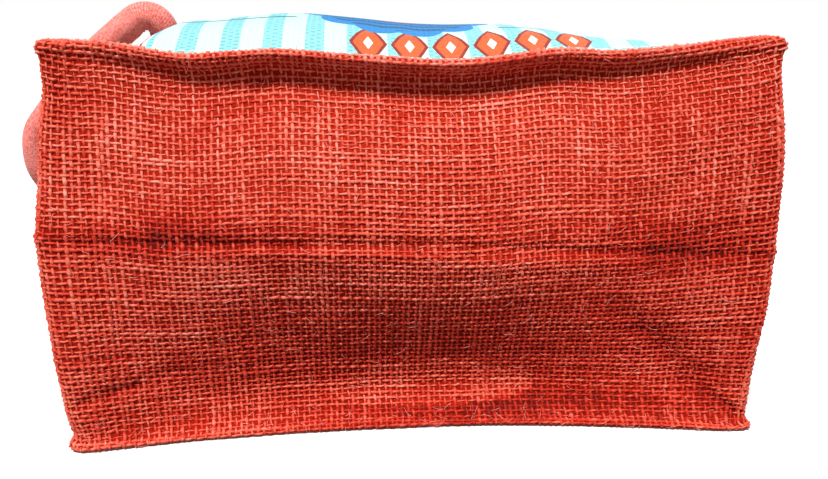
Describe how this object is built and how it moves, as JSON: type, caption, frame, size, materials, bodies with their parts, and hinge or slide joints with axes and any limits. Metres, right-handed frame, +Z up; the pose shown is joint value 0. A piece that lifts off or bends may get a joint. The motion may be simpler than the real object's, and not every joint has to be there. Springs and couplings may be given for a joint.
{
  "type": "jute bag",
  "caption": "Small box-shaped jute bag with red sides and base, striped front and back, and padded cotton loop handles, lying on its back.",
  "frame": {"origin": "on the surface that the bag lies on, under the centre of the box around the bag and its handles", "axes": "+Z up from the back panel to the front panel, +Y from the base towards the mouth, +X to the right when the base is looked at"},
  "size_m": [0.3516, 0.3836, 0.1673],
  "materials": {
    "red_jute": "matte",
    "striped_jute": "matte",
    "coral_cotton": "matte"
  },
  "bodies": {
    "root": {"gusset": "red_jute", "front_panel": "striped_jute", "back_panel": "striped_jute", "front_handle": "coral_cotton", "back_handle": "coral_cotton"}
  },
  "joints": []
}
